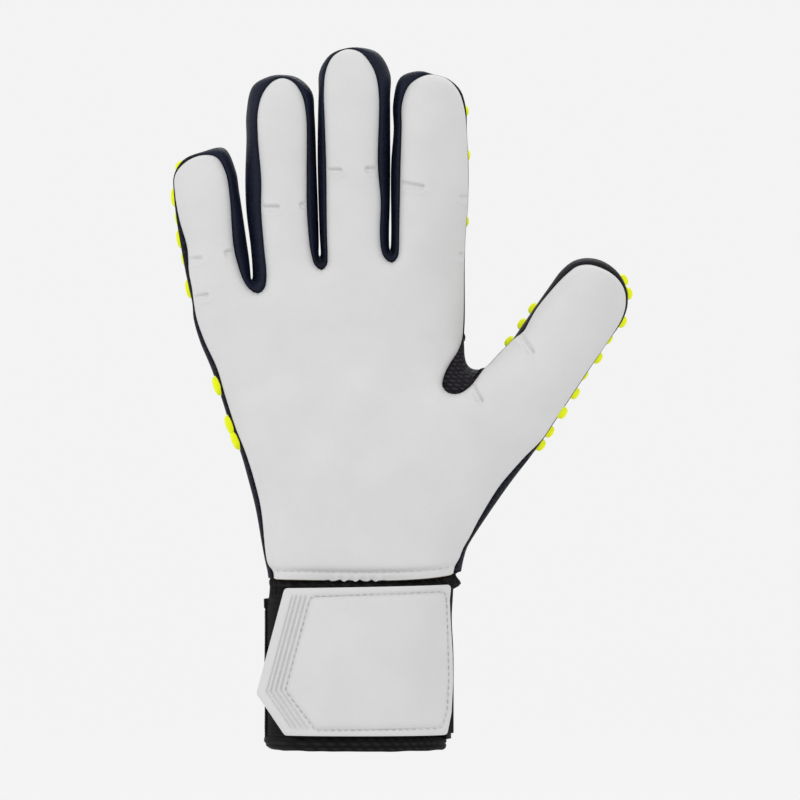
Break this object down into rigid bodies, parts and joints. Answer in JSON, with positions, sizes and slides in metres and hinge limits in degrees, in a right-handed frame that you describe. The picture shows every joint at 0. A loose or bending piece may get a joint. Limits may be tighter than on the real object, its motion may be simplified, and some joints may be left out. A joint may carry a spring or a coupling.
{
  "type": "goalkeeper glove",
  "caption": "Right-hand goalkeeper glove with a white latex foam palm, rolled and gusseted fingers, a dotted fabric back and an elastic cuff closed by a moulded strap.",
  "frame": {"origin": "centre of the wrist opening, at the cuff's lower edge", "axes": "+Z towards the fingertips, -Y out of the palm, +X towards the thumb"},
  "size_m": [0.1776, 0.0502, 0.2705],
  "materials": {
    "palm_latex": "matt latex foam with a fine closed grain",
    "gusset_fabric": "navy pebbled synthetic",
    "back_fabric": "black knitted mesh over thin foam",
    "dot_rubber": "neon yellow moulded rubber",
    "stretch_fabric": "black stretch mesh",
    "elastic": "black ribbed elastic webbing",
    "binding": "black folded edge tape",
    "strap_rubber": "matt white moulded rubber",
    "hook_loop": "black hook and loop tape",
    "lining": "dark grey smooth knit"
  },
  "bodies": {
    "hand": {"palm_foam": "palm_latex", "palm_hem": "palm_latex", "hand_back": "back_fabric", "hand_lining": "lining", "web_gussets": "gusset_fabric", "thumb_web": "stretch_fabric", "hand_dots": "dot_rubber", "wrist_gore": "stretch_fabric", "cuff_band": "elastic", "cuff_hem": "binding", "loop_patch": "hook_loop", "strap_elastic": "elastic"},
    "strap": {"strap_band": "strap_rubber", "strap_pad": "palm_latex", "strap_hook": "hook_loop"},
    "index_lower": {"index_foam_lower": "palm_latex", "index_gusset_lower": "gusset_fabric", "index_back_lower": "back_fabric", "index_dots_lower": "dot_rubber"},
    "index_upper": {"index_foam_upper": "palm_latex", "index_gusset_upper": "gusset_fabric", "index_back_upper": "back_fabric", "index_dots_upper": "dot_rubber"},
    "middle_lower": {"middle_foam_lower": "palm_latex", "middle_gusset_lower": "gusset_fabric", "middle_back_lower": "back_fabric", "middle_dots_lower": "dot_rubber"},
    "middle_upper": {"middle_foam_upper": "palm_latex", "middle_gusset_upper": "gusset_fabric", "middle_back_upper": "back_fabric", "middle_dots_upper": "dot_rubber"},
    "ring_lower": {"ring_foam_lower": "palm_latex", "ring_gusset_lower": "gusset_fabric", "ring_back_lower": "back_fabric", "ring_dots_lower": "dot_rubber"},
    "ring_upper": {"ring_foam_upper": "palm_latex", "ring_gusset_upper": "gusset_fabric", "ring_back_upper": "back_fabric", "ring_dots_upper": "dot_rubber"},
    "little_lower": {"little_foam_lower": "palm_latex", "little_gusset_lower": "gusset_fabric", "little_back_lower": "back_fabric", "little_dots_lower": "dot_rubber"},
    "little_upper": {"little_foam_upper": "palm_latex", "little_gusset_upper": "gusset_fabric", "little_back_upper": "back_fabric", "little_dots_upper": "dot_rubber"},
    "thumb_lower": {"thumb_foam_lower": "palm_latex", "thumb_gusset_lower": "gusset_fabric", "thumb_back_lower": "back_fabric", "thumb_dots_lower": "dot_rubber"},
    "thumb_upper": {"thumb_foam_upper": "palm_latex", "thumb_gusset_upper": "gusset_fabric", "thumb_back_upper": "back_fabric", "thumb_dots_upper": "dot_rubber"}
  },
  "joints": [
    {"name": "index_base_flex", "type": "hinge", "parent": "hand", "child": "index_lower", "pos_m": [0.0269, -0.0099, 0.191], "axis": [0.9999, 0, -0.0157], "range_deg": [0, 55], "stiffness_Nm_per_rad": 0.05},
    {"name": "index_mid_flex", "type": "hinge", "parent": "index_lower", "child": "index_upper", "pos_m": [0.02731, -0.0099, 0.21706], "axis": [0.9999, 0, -0.0157], "range_deg": [0, 65], "stiffness_Nm_per_rad": 0.05},
    {"name": "middle_base_flex", "type": "hinge", "parent": "hand", "child": "middle_lower", "pos_m": [-0.0014, -0.009, 0.191], "axis": [1, 0, 0.007], "range_deg": [0, 55], "stiffness_Nm_per_rad": 0.05},
    {"name": "middle_mid_flex", "type": "hinge", "parent": "middle_lower", "child": "middle_upper", "pos_m": [-0.00163, -0.009, 0.22359], "axis": [1, 0, 0.007], "range_deg": [0, 65], "stiffness_Nm_per_rad": 0.05},
    {"name": "ring_base_flex", "type": "hinge", "parent": "hand", "child": "ring_lower", "pos_m": [-0.0278, -0.0088, 0.186], "axis": [0.9991, 0, 0.0419], "range_deg": [0, 55], "stiffness_Nm_per_rad": 0.05},
    {"name": "ring_mid_flex", "type": "hinge", "parent": "ring_lower", "child": "ring_upper", "pos_m": [-0.02873, -0.0088, 0.20818], "axis": [0.9991, 0, 0.0419], "range_deg": [0, 65], "stiffness_Nm_per_rad": 0.05},
    {"name": "little_base_flex", "type": "hinge", "parent": "hand", "child": "little_lower", "pos_m": [-0.0528, -0.0083, 0.1775], "axis": [0.9877, 0, 0.1564], "range_deg": [0, 55], "stiffness_Nm_per_rad": 0.05},
    {"name": "little_mid_flex", "type": "hinge", "parent": "little_lower", "child": "little_upper", "pos_m": [-0.05481, -0.0083, 0.19018], "axis": [0.9877, 0, 0.1564], "range_deg": [0, 65], "stiffness_Nm_per_rad": 0.05},
    {"name": "thumb_base_flex", "type": "hinge", "parent": "hand", "child": "thumb_lower", "pos_m": [0.057, -0.0138, 0.13], "axis": [0.7986, 0, -0.6018], "range_deg": [0, 35], "stiffness_Nm_per_rad": 0.05},
    {"name": "thumb_mid_flex", "type": "hinge", "parent": "thumb_lower", "child": "thumb_upper", "pos_m": [0.07248, -0.0138, 0.15054], "axis": [0.7986, 0, -0.6018], "range_deg": [0, 55], "stiffness_Nm_per_rad": 0.05},
    {"name": "strap_peel", "type": "hinge", "parent": "hand", "child": "strap", "pos_m": [0.0364, -0.00871, 0.034], "axis": [0, 0, 1], "range_deg": [0, 150]}
  ]
}
